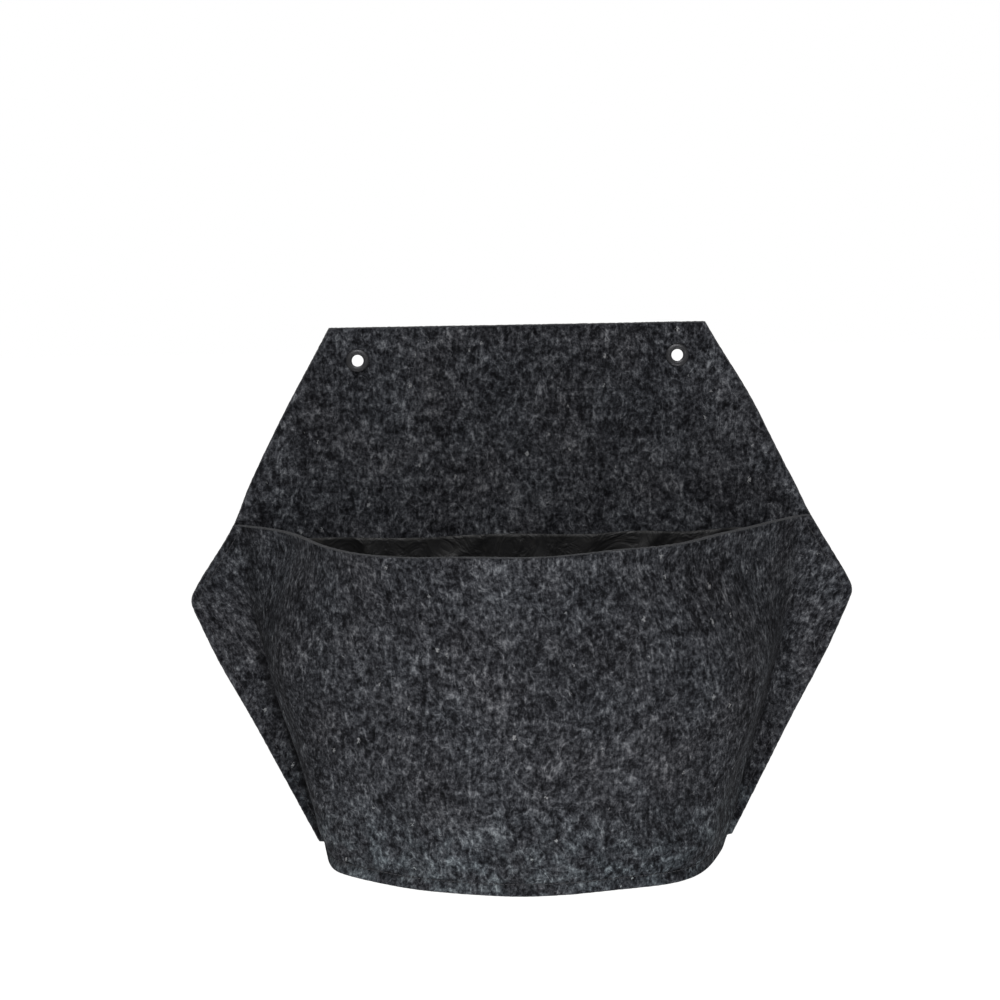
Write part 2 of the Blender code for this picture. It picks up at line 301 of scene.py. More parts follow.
def thick_sheet(name, points, faces, uv, thickness, materials, bulge=0.0009, edge_steps=5, fray=0.0):
    """A closed sheet behind an outer face. Its cut edges are rounded, and use the second material."""
    points = np.array(points, float)
    faces = np.array(faces)
    uv = np.array(uv, float)
    normals = vertex_normals(points, faces)
    thick = np.broadcast_to(np.asarray(thickness, float).reshape(-1, 1), (len(points), 1))
    inner = points - normals * thick
    n = len(points)
    all_points = [points, inner]
    all_uv = [uv, uv + np.array([0.37, 0.0])]
    quads = [faces, faces[:, ::-1] + n]
    kinds = [np.zeros(len(faces), int), np.zeros(len(faces), int)]
    start = 2 * n
    rng = np.random.default_rng(len(name) * 7 + n % 1000)
    for loop in boundary_loops(faces):
        loop = np.array(loop)
        here = points[loop]
        along = np.roll(here, -1, axis=0) - np.roll(here, 1, axis=0)
        out = np.cross(along, normals[loop])
        out /= np.maximum(np.linalg.norm(out, axis=1, keepdims=True), 1e-12)
        middle = here - normals[loop] * thick[loop] / 2
        rings = [loop]
        for step in range(1, edge_steps):
            angle = math.pi * step / edge_steps
            lift = normals[loop] * thick[loop] / 2 * math.cos(angle)
            rough = fray * rng.uniform(-1, 1, (len(loop), 1))
            ring = middle + lift + out * (bulge + rough) * math.sin(angle)
            all_points.append(ring)
            shift = out @ np.array([[1, 0], [0, 0], [0, 1]]) * (0.0018 * step)
            all_uv.append(uv[loop] + shift)
            rings.append(np.arange(start, start + len(loop)))
            start += len(loop)
        rings.append(loop + n)
        for upper, lower in zip(rings, rings[1:]):
            quads.append(np.stack([upper, lower, np.roll(lower, -1), np.roll(upper, -1)], axis=1))
            kinds.append(np.ones(len(loop), int))
    all_points = np.concatenate(all_points)
    all_uv = np.concatenate(all_uv)
    quads = np.concatenate(quads)
    kinds = np.concatenate(kinds)
    return mesh_object(name, all_points, quads, materials, kinds, all_uv)


def mesh_object(name, points, faces, materials, kinds=None, uv=None):
    """A smooth-shaded mesh. A quad whose last two corners are one vertex becomes a triangle."""
    mesh = bpy.data.meshes.new(name)
    rows = []
    for face in np.asarray(faces).tolist():
        kept = [v for k, v in enumerate(face) if v != face[k - 1]]
        rows.append(kept)
    mesh.from_pydata(np.asarray(points).tolist(), [], rows)
    for material in materials:
        mesh.materials.append(material)
    if kinds is not None:
        mesh.polygons.foreach_set("material_index", np.asarray(kinds, np.int32))
    mesh.shade_smooth()
    if uv is not None:
        layer = mesh.uv_layers.new(name="felt_mm")
        index = np.empty(len(mesh.loops), np.int32)
        mesh.loops.foreach_get("vertex_index", index)
        layer.data.foreach_set("uv", uv[index].astype(np.float32).ravel())
    mesh.update()
    obj = bpy.data.objects.new(name, mesh)
    bpy.context.scene.collection.objects.link(obj)
    return obj


# ---- materials -------------------------------------------------------------------------------------


class Nodes:
    """Short calls that add and join the nodes of one material."""

    def __init__(self, name):
        self.material = bpy.data.materials.new(name)
        self.material.use_nodes = True
        self.tree = self.material.node_tree
        self.shader = self.tree.nodes["Principled BSDF"]

    def add(self, kind, **settings):
        node = self.tree.nodes.new(kind)
        for key, value in settings.items():
            setattr(node, key, value)
        return node

    def put(self, socket, value):
        if hasattr(value, "is_output"):
            self.tree.links.new(value, socket)
        else:
            socket.default_value = value

    def sheet_position(self):
        """Place on the flat sheet, in millimetres."""
        uv = self.add("ShaderNodeUVMap", uv_map="felt_mm")
        return self.scaled(uv.outputs["UV"], (1000.0, 1000.0, 1000.0))

    def object_position(self):
        """Place in the object's frame, in millimetres."""
        place = self.add("ShaderNodeTexCoord")
        return self.scaled(place.outputs["Object"], (1000.0, 1000.0, 1000.0))

    def scaled(self, vector, scale, turn=0.0, shift=(0.0, 0.0, 0.0)):
        node = self.add("ShaderNodeMapping")
        self.put(node.inputs["Vector"], vector)
        node.inputs["Scale"].default_value = scale
        node.inputs["Rotation"].default_value = (0.0, 0.0, turn)
        node.inputs["Location"].default_value = shift
        return node.outputs["Vector"]

    def noise(self, vector, scale, detail=2.0, roughness=0.5, distortion=0.0, output="Fac"):
        node = self.add("ShaderNodeTexNoise")
        self.put(node.inputs["Vector"], vector)
        node.inputs["Scale"].default_value = scale
        node.inputs["Detail"].default_value = detail
        node.inputs["Roughness"].default_value = roughness
        node.inputs["Distortion"].default_value = distortion
        return node.outputs[output]

    def voronoi(self, vector, scale, output="Distance"):
        node = self.add("ShaderNodeTexVoronoi", voronoi_dimensions="2D")
        self.put(node.inputs["Vector"], vector)
        node.inputs["Scale"].default_value = scale
        return node.outputs[output]

    def math(self, operation, a, b=0.0, clamp=False):
        node = self.add("ShaderNodeMath", operation=operation, use_clamp=clamp)
        self.put(node.inputs[0], a)
        self.put(node.inputs[1], b)
        return node.outputs[0]

    def vector_math(self, operation, a, b):
        node = self.add("ShaderNodeVectorMath", operation=operation)
        self.put(node.inputs[0], a)
        self.put(node.inputs[1], b)
        return node.outputs[0]

    def spread(self, value, low, high, to_low=0.0, to_high=1.0, smooth=True):
        node = self.add("ShaderNodeMapRange", interpolation_type="SMOOTHSTEP" if smooth else "LINEAR")
        self.put(node.inputs["Value"], value)
        node.inputs["From Min"].default_value = low
        node.inputs["From Max"].default_value = high
        node.inputs["To Min"].default_value = to_low
        node.inputs["To Max"].default_value = to_high
        return node.outputs["Result"]

    def ramp(self, value, stops):
        node = self.add("ShaderNodeValToRGB")
        elements = node.color_ramp.elements
        while len(elements) < len(stops):
            elements.new(0.5)
        for element, (position, colour) in zip(elements, stops):
            element.position = position
            element.color = (*colour, 1.0)
        self.put(node.inputs["Fac"], value)
        return node.outputs["Color"]

    def mix(self, share, a, b, blend="MIX"):
        node = self.add("ShaderNodeMix", data_type="RGBA", blend_type=blend)
        self.put(node.inputs[0], share)
        self.put(node.inputs[6], a if hasattr(a, "is_output") else (*a, 1.0))
        self.put(node.inputs[7], b if hasattr(b, "is_output") else (*b, 1.0))
        return node.outputs[2]

    def bump(self, height, distance, strength=1.0, normal=None):
        node = self.add("ShaderNodeBump")
        node.inputs["Strength"].default_value = strength
        node.inputs["Distance"].default_value = distance
        self.put(node.inputs["Height"], height)
        if normal is not None:
            self.put(node.inputs["Normal"], normal)
        return node.outputs["Normal"]

    def finish(self, colour, roughness, normal=None, **fixed):
        self.put(self.shader.inputs["Base Color"], colour)
        self.put(self.shader.inputs["Roughness"], roughness)
        if normal is not None:
            self.put(self.shader.inputs["Normal"], normal)
        for key, value in fixed.items():
            self.shader.inputs[key].default_value = value
        return self.material


def fibres(g, place, scale, turn, width, seed):
    """Thin curved lines, broken into lengths, as loose fibres lie in felt."""
    turned = g.scaled(place, (1.0, 0.6, 1.0), turn=turn, shift=(seed * 13.7, seed * 7.3, 0.0))
    field = g.noise(turned, scale, detail=1.0, roughness=0.4, distortion=0.9)
    off = g.math("ABSOLUTE", g.math("SUBTRACT", field, 0.5))
    line = g.spread(off, 0.0, width, 1.0, 0.0)
    part = g.spread(g.noise(turned, scale * 1.1, detail=1.0, roughness=0.5), 0.47, 0.60)
    return g.math("MULTIPLY", line, part)


def felt_material(name):
    """Needle-punched charcoal felt: dark and light mottling, fibres, pale flecks, cloudy batches of tone."""
    g = Nodes(name)
    place = g.sheet_position()
    grain = g.noise(g.scaled(place, (1.0, 0.78, 1.0)), 0.22, detail=5.0, roughness=0.70, distortion=0.2)
    fine = g.noise(g.scaled(place, (1.0, 0.8, 1.0), shift=(31.0, 7.0, 0.0)), 0.50, detail=3.0, roughness=0.65)
    streak = g.noise(g.scaled(place, (0.75, 0.15, 1.0)), 0.50, detail=2.0, roughness=0.6, distortion=0.2)
    cloud = g.noise(place, 0.070, detail=3.0, roughness=0.55, distortion=0.3)
    patch = g.noise(g.scaled(place, (1.0, 0.8, 1.0), shift=(210.0, 65.0, 0.0)), 0.014, detail=2.0)
    tone = g.math("ADD", g.math("MULTIPLY", g.math("SUBTRACT", grain, 0.5), 1.65), 0.5)
    for value, weight in ((fine, 1.05), (streak, 0.36), (cloud, 0.60), (patch, 0.32)):
        part = g.math("MULTIPLY", g.math("SUBTRACT", value, 0.5), weight)
        tone = g.math("ADD", tone, part)
    hairs = fibres(g, place, 0.075, 0.5, 0.030, 1)
    for scale, turn, width, seed in ((0.095, -0.9, 0.028, 2), (0.062, 1.7, 0.024, 3), (0.11, 2.6, 0.026, 4)):
        hairs = g.math("MAXIMUM", hairs, fibres(g, place, scale, turn, width, seed))
    lint = g.math("MAXIMUM", fibres(g, place, 0.045, 0.9, 0.040, 5), fibres(g, place, 0.052, 2.3, 0.036, 6))
    tone = g.math("ADD", tone, g.math("MULTIPLY", hairs, 0.19))
    tone = g.math("ADD", tone, g.math("MULTIPLY", lint, 0.10))
    colour = g.ramp(
        tone,
        [
            (0.10, (0.0020, 0.0021, 0.0028)),
            (0.33, (0.0115, 0.0119, 0.0144)),
            (0.50, (0.0315, 0.0328, 0.0380)),
            (0.67, (0.0680, 0.0709, 0.0798)),
            (0.84, (0.1380, 0.1430, 0.1560)),
            (1.00, (0.2400, 0.2480, 0.2650)),
        ],
    )
    wobble = g.noise(place, 0.8, detail=1.0, output="Color")
    bent = g.vector_math("ADD", place, g.vector_math("MULTIPLY", wobble, (4.6, 4.6, 0.0)))
    bent = g.scaled(bent, (1.45, 0.85, 1.0), turn=0.35)
    fleck = None
    for scale, rarest, reach in ((0.050, 0.76, 0.082), (0.12, 0.84, 0.150)):
        spot = g.voronoi(bent, scale)
        chance = g.voronoi(bent, scale, output="Color")
        size = g.spread(chance, rarest, rarest + 0.12, 0.0, reach, smooth=False)
        one = g.spread(g.math("SUBTRACT", size, spot), 0.0, 0.026)
        fleck = one if fleck is None else g.math("MAXIMUM", fleck, one)
    fleck = g.math("MULTIPLY", fleck, 0.85)
    colour = g.mix(fleck, colour, (0.34, 0.345, 0.355))
    moved = g.scaled(place, (1.0, 1.0, 1.0), shift=(77.0, 15.0, 0.0))
    tint = g.noise(moved, 0.020, detail=2.0, distortion=0.4)
    warm = g.ramp(tint, [(0.34, (1.02, 1.0, 0.99)), (0.5, (1.0, 1.0, 1.0)), (0.66, (0.985, 1.003, 1.01))])
    colour = g.mix(1.0, colour, warm, "MULTIPLY")
    # Painted light: the felt is made paler and a little bluer, in patches, towards the bottom of the front
    # panel, standing in for the brighter light on the lower front.
    height_on_sheet = g.add("ShaderNodeSeparateXYZ")
    g.put(height_on_sheet.inputs[0], place)
    painted_low_light = g.spread(height_on_sheet.outputs["Y"], -335.0, -262.0, 1.0, 0.0)
    painted_low_light = g.math("MULTIPLY", painted_low_light, g.spread(height_on_sheet.outputs["Y"], -360.0, -350.0))
    painted_low_light = g.math("MULTIPLY", painted_low_light, g.spread(cloud, 0.35, 0.62))
    paler = g.mix(1.0, colour, (1.45, 1.62, 1.60), "MULTIPLY")
    colour = g.mix(g.math("MULTIPLY", painted_low_light, 0.75), colour, paler)
    # Painted shade: the fold attribute darkens the felt colour beside the side creases and along the base
    # seam, where shade falls.
    fold = g.add("ShaderNodeAttribute", attribute_name="fold")
    painted_fold_shade = g.math("MULTIPLY", fold.outputs["Fac"], g.spread(grain, 0.30, 0.62, 1.0, 0.78))
    colour = g.mix(painted_fold_shade, colour, (0.0045, 0.0045, 0.0052))
    height = g.math("ADD", g.math("MULTIPLY", grain, 0.70), g.math("MULTIPLY", fine, 0.35))
    height = g.math("ADD", height, g.math("MULTIPLY", hairs, 0.12))
    height = g.math("ADD", height, g.math("MULTIPLY", streak, 0.15))
    coarse = g.bump(cloud, 0.0025, 0.4)
    normal = g.bump(height, 0.0012, 0.8, coarse)
    rough = g.spread(tone, 0.3, 0.7, 1.0, 0.88)
    return g.finish(colour, rough, normal, **{"Specular IOR Level": 0.15})


def felt_edge_material():
    """The cut edge: the same felt seen end on, with paler, finer, hairier layers."""
    g = Nodes("felt_cut_edge")
    place = g.object_position()
    grain = g.noise(place, 1.1, detail=4.0, roughness=0.7, distortion=0.5)
    clump = g.noise(place, 0.22, detail=2.0, roughness=0.5)
    tone = g.math("ADD", g.math("MULTIPLY", grain, 0.75), g.math("MULTIPLY", clump, 0.25))
    colour = g.ramp(
        tone,
        [
            (0.30, (0.022, 0.0227, 0.026)),
            (0.50, (0.060, 0.062, 0.068)),
            (0.70, (0.135, 0.138, 0.147)),
        ],
    )
    normal = g.bump(grain, 0.0012, 0.9)
    return g.finish(
        colour, 0.95, normal,
        **{"Specular IOR Level": 0.15, "Sheen Weight": 0.15, "Sheen Roughness": 0.6},
    )


def film_material():
    """Black polyethylene film: dull gloss, crumpled, with a little soil dust."""
    g = Nodes("black_film")
    place = g.object_position()
    crease = g.noise(place, 0.045, detail=3.0, roughness=0.6, distortion=1.4)
    fold = g.math("ABSOLUTE", g.math("SUBTRACT", crease, 0.5))
    dust = g.spread(g.noise(place, 0.09, detail=4.0, roughness=0.65), 0.52, 0.72)
    colour = g.mix(g.math("MULTIPLY", dust, 0.35), (0.0105, 0.0105, 0.0112), (0.034, 0.031, 0.027))
    rough = g.spread(dust, 0.0, 1.0, 0.45, 0.68, smooth=False)
    fine = g.noise(place, 0.8, detail=2.0)
    normal = g.bump(fine, 0.0002, 0.3, g.bump(fold, 0.0035, 0.6))
    return g.finish(colour, rough, normal, **{"Specular IOR Level": 0.38})


def thread_material():
    """Charcoal polyester thread: two twisted plies with a faint lustre."""
    g = Nodes("polyester_thread")
    place = g.object_position()
    tone = g.noise(place, 1.6, detail=2.0)
    colour = g.ramp(
        tone, [(0.3, (0.020, 0.0207, 0.024)), (0.7, (0.060, 0.061, 0.068))]
    )
    normal = g.bump(g.noise(place, 5.0, detail=2.0), 0.0002, 0.5)
    return g.finish(colour, 0.62, normal, **{"Specular IOR Level": 0.45, "Sheen Weight": 0.1})


def metal_material():
    """Blackened eyelet metal, rubbed paler in places."""
    g = Nodes("blackened_metal")
    place = g.object_position()
    blotch = g.noise(place, 0.55, detail=4.0, roughness=0.6)
    scuff = g.noise(place, 2.6, detail=3.0, roughness=0.6)
    worn = g.math("MULTIPLY", g.spread(blotch, 0.54, 0.70), g.spread(scuff, 0.50, 0.64))
    colour = g.mix(worn, (0.075, 0.075, 0.080), (0.20, 0.195, 0.19))
    rough = g.spread(blotch, 0.3, 0.7, 0.32, 0.50)
    normal = g.bump(scuff, 0.00005, 0.4)
    return g.finish(colour, rough, normal, Metallic=0.85)


FELT_FACE = felt_material("charcoal_felt")
FELT_EDGE = felt_edge_material()
FILM_BLACK = film_material()
THREAD_BLACK = thread_material()
METAL = metal_material()

# ---- felt panels -----------------------------------------------------------------------------------

GAP = 0.0003
FLANGE_STEPS = 22
POCKET_STEPS = 290
FRONT_ROWS = 138
SEAM_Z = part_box("base_back_seam")[0].z / 2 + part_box("base_back_seam")[1].z / 2
SIDE_SEAM_MARGIN = 0.0048
EDGE_BULGE = 0.0009
STITCH_PITCH = 0.0036


def side_gap(x, z):
    """Distance in from the slanting cut edge."""
    edge = np.where(x < 0, left_outline(z), right_outline(z))
    return (edge - np.abs(x)) * 0.89


def declare(piece, slot_name, *nodes):
    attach(piece, "root")
    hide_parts(*nodes)


def front_surface():
    heights = np.linspace(RIM_Z, LIP_Z, FRONT_ROWS)
    rows, spots = [], []
    for z in heights:
        line, along = front_line(z, FLANGE_STEPS, POCKET_STEPS)
        rows.append(np.column_stack([line, np.full(len(line), z)]))
        spots.append(np.column_stack([along, np.full(len(line), z)]))
    return np.array(rows), np.array(spots)


def front_painted_shade():
    """Painted shade beside each side crease and along the base seam, from 0 to 1: how far the felt colour is
    darkened where shade falls.
    """
    left = front_along[FLANGE_STEPS::columns][:rows]
    right = front_along[FLANGE_STEPS + POCKET_STEPS :: columns][:rows]
    z = front_along[:, 1]
    from_left = front_along[:, 0] - np.repeat(left[:, 0], columns)
    from_right = np.repeat(right[:, 0], columns) - front_along[:, 0]
    tight = ease((-0.185 - z) / 0.025)
    # Painted shade: a dark line and a broad band beside the left crease, a band beside the right crease, and
    # a line along the base seam.
    line = 0.97 * bump_at(from_left + 0.0044, 0.0027) * tight
    broad = 0.45 * bump_at(from_left - 0.008, 0.012) * (1 - 0.75 * tight)
    far = 0.40 * bump_at(from_right - 0.009, 0.010) * (0.35 + 0.65 * tight)
    seam_painted_shade = (0.24 + 0.40 * bump_at(from_left - 0.105, 0.035)) * bump_at(z - SEAM_Z, 0.0019)
    seam_painted_shade *= ease((from_left + 0.002) / 0.004) * ease((from_right + 0.002) / 0.004)
    return np.maximum(np.maximum(line, broad), np.maximum(far, seam_painted_shade))


def fold_shade(piece, values):
    """Writes the painted shade of the folds on a piece whose first vertices are its outer face."""
    layer = piece.data.attributes.new("fold", "FLOAT", "POINT")
    shade = np.zeros(len(piece.data.vertices), np.float32)
    shade[: len(values)] = values
    layer.data.foreach_set("value", shade)


front_rows, front_uv = front_surface()
rows, columns = front_rows.shape[:2]
front_flat = front_rows.reshape(-1, 3)
front_along = front_uv.reshape(-1, 2)
front_faces = grid_faces(rows, columns)
front_points = settle(front_flat)
front_normals = vertex_normals(front_points, front_faces)
on_flange = 1 - ease((FLANGE_FACE_Y - front_flat[:, 1]) / 0.006)
base_groove = 0.0008 * bump_at(front_flat[:, 2] - SEAM_Z, 0.0019)
base_groove *= 1 - 0.8 * on_flange
base_groove *= 1 + 0.25 * np.cos(2 * math.pi * front_along[:, 0] / STITCH_PITCH)
side_groove = 0.0007 * bump_at(side_gap(front_flat[:, 0], front_flat[:, 2]) - SIDE_SEAM_MARGIN, 0.0019)
side_groove *= on_flange
belly = 0.0013 * bump_at(front_flat[:, 2] - SEAM_Z - 0.016, 0.010) * (1 - on_flange)
flare = 0.0010 * ease((SEAM_Z - front_flat[:, 2] - 0.001) / 0.007) * (1 - on_flange)
rim_roll = 0.0008 * ease((front_flat[:, 2] - RIM_Z + 0.010) / 0.010) * (1 - on_flange)
groove = base_groove + side_groove
front_points += front_normals * (belly + flare + rim_roll - groove)[:, None]
felt_front = thick_sheet(
    "felt_front", front_points, front_faces, front_along, FELT - groove, [FELT_FACE, FELT_EDGE],
    bulge=EDGE_BULGE, fray=0.00015,
)
fold_shade(felt_front, front_painted_shade())
declare(felt_front, "felt", "front_panel")


def crowded(count, centres, reach, gain):
    """Steps from 0 to 1 that lie closer together around some centres."""
    fine = np.linspace(0, 1, 4001)
    weight = 1 + sum(gain * bump_at(fine - c, reach) for c in centres)
    total = np.concatenate([[0], np.cumsum((weight[1:] + weight[:-1]) / 2)])
    return np.interp(np.linspace(0, total[-1], count), total, fine)


def centre_of(node):
    low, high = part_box(node)
    return (low + high) / 2


EYELETS = [centre_of("left_eyelet"), centre_of("right_eyelet")]
BACK_ROWS = 186
BACK_COLUMNS = 216
EYELET_HOLE = 0.0050
DENT_RADIUS = 0.0086
DENT_SLOPE = 0.0030
DENT_REAR = 0.0021


def back_surface():
    share = crowded(BACK_ROWS, [(TOP_Z - EYELETS[0].z) / (TOP_Z - LIP_Z)], 0.035, 1.2)
    at_eyelets = [0.5 + c.x / (left_outline(c.z) + right_outline(c.z)) for c in EYELETS]
    across = crowded(BACK_COLUMNS, at_eyelets, 0.04, 1.6)
    rows = []
    for z in TOP_Z - share * (TOP_Z - LIP_Z):
        x = -left_outline(z) * (1 - across) + right_outline(z) * across
        rows.append(np.column_stack([x, np.full(len(x), -FELT), np.full(len(x), z)]))
    return np.array(rows).reshape(-1, 3)


def open_holes(points, faces, centres, radius):
    """Takes out the faces inside each hole, and draws the edge that is left onto its circle."""
    kept = np.ones(len(faces), bool)
    for centre in centres:
        offset = points[:, [0, 2]] - np.array([centre.x, centre.z])
        inside = np.linalg.norm(offset, axis=1) < radius
        kept &= ~inside[faces].any(axis=1)
    faces = faces[kept]
    for loop in boundary_loops(faces):
        loop = np.array(loop)
        for centre in centres:
            offset = points[loop][:, [0, 2]] - np.array([centre.x, centre.z])
            away = np.linalg.norm(offset, axis=1)
            if away.max() < 3 * radius:
                points[loop[:, None], [0, 2]] = [centre.x, centre.z] + offset / away[:, None] * radius
    return points, faces


def compact(points, faces, *others):
    used, index = np.unique(faces, return_inverse=True)
    return (points[used], index.reshape(faces.shape), *(o[used] for o in others))


back_flat = back_surface()
back_flat, back_faces = open_holes(back_flat, grid_faces(BACK_ROWS, BACK_COLUMNS), EYELETS, EYELET_HOLE)
back_flat, back_faces = compact(back_flat, back_faces)
back_x, back_z = back_flat[:, 0], back_flat[:, 2]
from_eyelet = np.min([np.hypot(back_x - c.x, back_z - c.z) for c in EYELETS], axis=0)
free = ease((back_z - RIM_Z - 0.004) / 0.03)
held = ease((from_eyelet - 0.012) / 0.035)
lift = 0.0011 * (1 + 0.8 * ripple(back_x, back_z, 0.10, 21)) * free * held
curl = 0.0022 * bump_at(back_z + 0.092, 0.022) * (1 - ease(side_gap(back_x, back_z) / 0.022)) * free
dent = 1 - ease((from_eyelet - DENT_RADIUS) / DENT_SLOPE)
rear_groove = 0.0007 * bump_at(side_gap(back_x, back_z) - SIDE_SEAM_MARGIN, 0.0017)
rear_groove *= ease((RIM_Z + 0.002 - back_z) / 0.004)
level = 0.0009 * bump_at(back_z - SEAM_Z, 0.0017) * ease((0.135 - np.abs(back_x)) / 0.006)
rear_groove = np.maximum(rear_groove, level)
back_points = back_flat.copy()
back_points[:, 1] -= np.maximum(lift, 0) + curl - 0.00025 * dent
back_thickness = FELT - rear_groove - (DENT_REAR - 0.00025) * dent
felt_back = thick_sheet(
    "felt_back", back_points, back_faces, back_flat[:, [0, 2]] + np.array([0.9, 0.4]), back_thickness,
    [FELT_FACE, FELT_EDGE], bulge=EDGE_BULGE, fray=0.00015,
)
declare(felt_back, "felt", "back_panel")


def inside_loop(z, inset, extra, front_count, back_count, rounding):
    """A level loop inside the pocket: along the front panel, then back along the back panel."""
    line, _ = front_line(z, FLANGE_STEPS, POCKET_STEPS)
    step = np.gradient(line, axis=0)
    step /= np.linalg.norm(step, axis=1, keepdims=True)
    outward = np.column_stack([step[:, 1], -step[:, 0]])
    moved = line - outward * (inset + extra)
    back_y = -(FELT + GAP) - extra
    inner = np.where(moved[:, 1] < back_y)[0]
    first, last = inner[0], inner[-1]
    run = moved[first : last + 1]
    corners = []
    for near, far in ((first, first - 1), (last, last + 1)):
        share = (back_y - moved[near, 1]) / (moved[far, 1] - moved[near, 1])
        corners.append(moved[near] + share * (moved[far] - moved[near]))
    front = resample(np.concatenate([[corners[0]], run, [corners[1]]]), front_count + 1)[:-1]
    back = resample(np.array([corners[1], corners[0]]), back_count + 1)[:-1]
    loop = np.concatenate([front, back])
    for _ in range(rounding):
        loop = (np.roll(loop, 1, axis=0) + 2 * loop + np.roll(loop, -1, axis=0)) / 4
    return loop


def tray_surface(walls, floor_z, floor_steps, floor_sag, counts, inset, rounding):
    """Rows of loops for walls of (height, extra inset), then rings across the floor to its middle."""
    rows = []
    for z, extra in walls:
        loop = inside_loop(z, inset, extra, *counts, rounding)
        rows.append(np.column_stack([loop, np.full(len(loop), z)]))
    edge = rows[-1][:, :2]
    middle = np.array([0.0, edge[:, 1].mean() * 0.9])
    for step in range(1, floor_steps + 1):
        share = 1 - step / (floor_steps + 0.15)
        ring = middle + (edge - middle) * share
        z = np.full(len(ring), floor_z) - floor_sag * ease((1 - share) * 1.6)
        rows.append(np.column_stack([ring, z]))
    return np.array(rows)


def close_middle(points, faces, rows, columns):
    """Fans the last ring of a tray to one point."""
    last = np.arange((rows - 1) * columns, rows * columns)
    points = np.concatenate([points, points[last].mean(axis=0, keepdims=True)])
    apex = np.full(columns, len(points) - 1)
    fan = np.stack([last, apex, apex, np.roll(last, -1)], axis=1)
    return points, np.concatenate([faces, fan])


BASE_TURN = 0.0040
BASE_COUNTS = (220, 120)


def base_walls():
    walls = [(z, 0.0) for z in np.linspace(LIP_Z + 0.0006, BASE_Z - BASE_TURN, 6)]
    for step in range(1, 6):
        angle = math.radians(90) * step / 5
        walls.append((BASE_Z - BASE_TURN + BASE_TURN * math.sin(angle), BASE_TURN * (1 - math.cos(angle))))
    return walls


base_rows = tray_surface(base_walls(), BASE_Z, 26, 0.0018, BASE_COUNTS, FELT + GAP, 2)
rows, columns = base_rows.shape[:2]
base_flat = base_rows.reshape(-1, 3)
base_flat, base_faces = close_middle(base_flat, grid_faces(rows, columns, closed=True), rows, columns)
base_faces = base_faces[:, ::-1]
base_points = settle(base_flat)
base_points[:, 2] += 0.0005 * ripple(base_flat[:, 0], base_flat[:, 1], 0.05, 31) * ease(
    (base_flat[:, 2] - BASE_Z + 0.0025) / 0.002
)
base_outward = base_flat[:, :2] - base_flat[-1, :2]
base_outward /= np.maximum(np.linalg.norm(base_outward, axis=1, keepdims=True), 1e-6)
base_uv = base_flat[:, :2] + base_outward * (BASE_Z - base_flat[:, 2:]) + np.array([1.7, 0.9])
felt_base = thick_sheet(
    "felt_base", base_points, base_faces, base_uv, FELT, [FELT_FACE, FELT_EDGE], bulge=0.0004, fray=0.0001
)
declare(felt_base, "felt", "base_panel")

# ---- film liner ------------------------------------------------------------------------------------

FILM = 0.0005
FILM_INSET = FELT + 0.0010
FILM_TURN = 0.006
FILM_COUNTS = (250, 150)
FILM_ROWS = 92
FILM_TURN_STEPS = 5
FILM_FLOOR = BASE_Z + 0.0011


def film_walls():
    top = LINER_HIGH.z
    walls = [(z, 0.0) for z in np.linspace(top, FILM_FLOOR + FILM_TURN, FILM_ROWS)]
    for step in range(1, FILM_TURN_STEPS + 1):
        angle = math.radians(90) * step / FILM_TURN_STEPS
        z = FILM_FLOOR + FILM_TURN - FILM_TURN * math.sin(angle)
        walls.append((z, FILM_TURN * (1 - math.cos(angle))))
    return walls


def crumple(a, b, wavelength, seed):
    """Sharp valleys between soft swells, from 0 to about 1."""
    folds = [1 - np.abs(ripple(a, b, wavelength * k, seed + n, waves=5)) for n, k in enumerate((1.0, 0.6))]
    return np.clip(0.65 * folds[0] + 0.35 * folds[1], 0, 1) ** 2


film_rows = tray_surface(film_walls(), FILM_FLOOR, 22, 0.0018, FILM_COUNTS, FILM_INSET, 5)
rows, columns = film_rows.shape[:2]
film_flat = film_rows.reshape(-1, 3)
film_flat, film_faces = close_middle(film_flat, grid_faces(rows, columns, closed=True), rows, columns)
film_points = settle(film_flat)
film_normals = vertex_normals(film_points, film_faces)
around = np.tile(np.cumsum(np.ones(columns)) / columns * 0.85, rows)
around = np.append(around, 0.0)
angle = around * 2 * math.pi / 0.85
ring_a, ring_b = 0.135 * np.cos(angle), 0.135 * np.sin(angle)
wrinkle = crumple(ring_a + film_flat[:, 2] * 0.7, ring_b - film_flat[:, 2] * 0.4, 0.050, 41)
wrinkle = 0.0024 * wrinkle * ease((film_flat[:, 2] - FILM_FLOOR + 0.002) / 0.03)
film_points -= film_normals * wrinkle[:, None]
top_edge = ease((film_flat[:, 2] - LINER_HIGH.z + 0.012) / 0.012)
film_points[:, 2] += 0.0011 * ripple(ring_a, ring_b, 0.06, 47) * top_edge
liner = thick_sheet(
    "liner_film", film_points, film_faces, film_flat[:, :2], FILM, [FILM_BLACK, FILM_BLACK],
    bulge=0.0001, edge_steps=3,
)
declare(liner, "liner_film", "moisture_liner")

# ---- stitches --------------------------------------------------------------------------------------

STITCH_LENGTH = 0.0031
THREAD = 0.00034
THREAD_SIDES = 10
THREAD_RINGS = 10


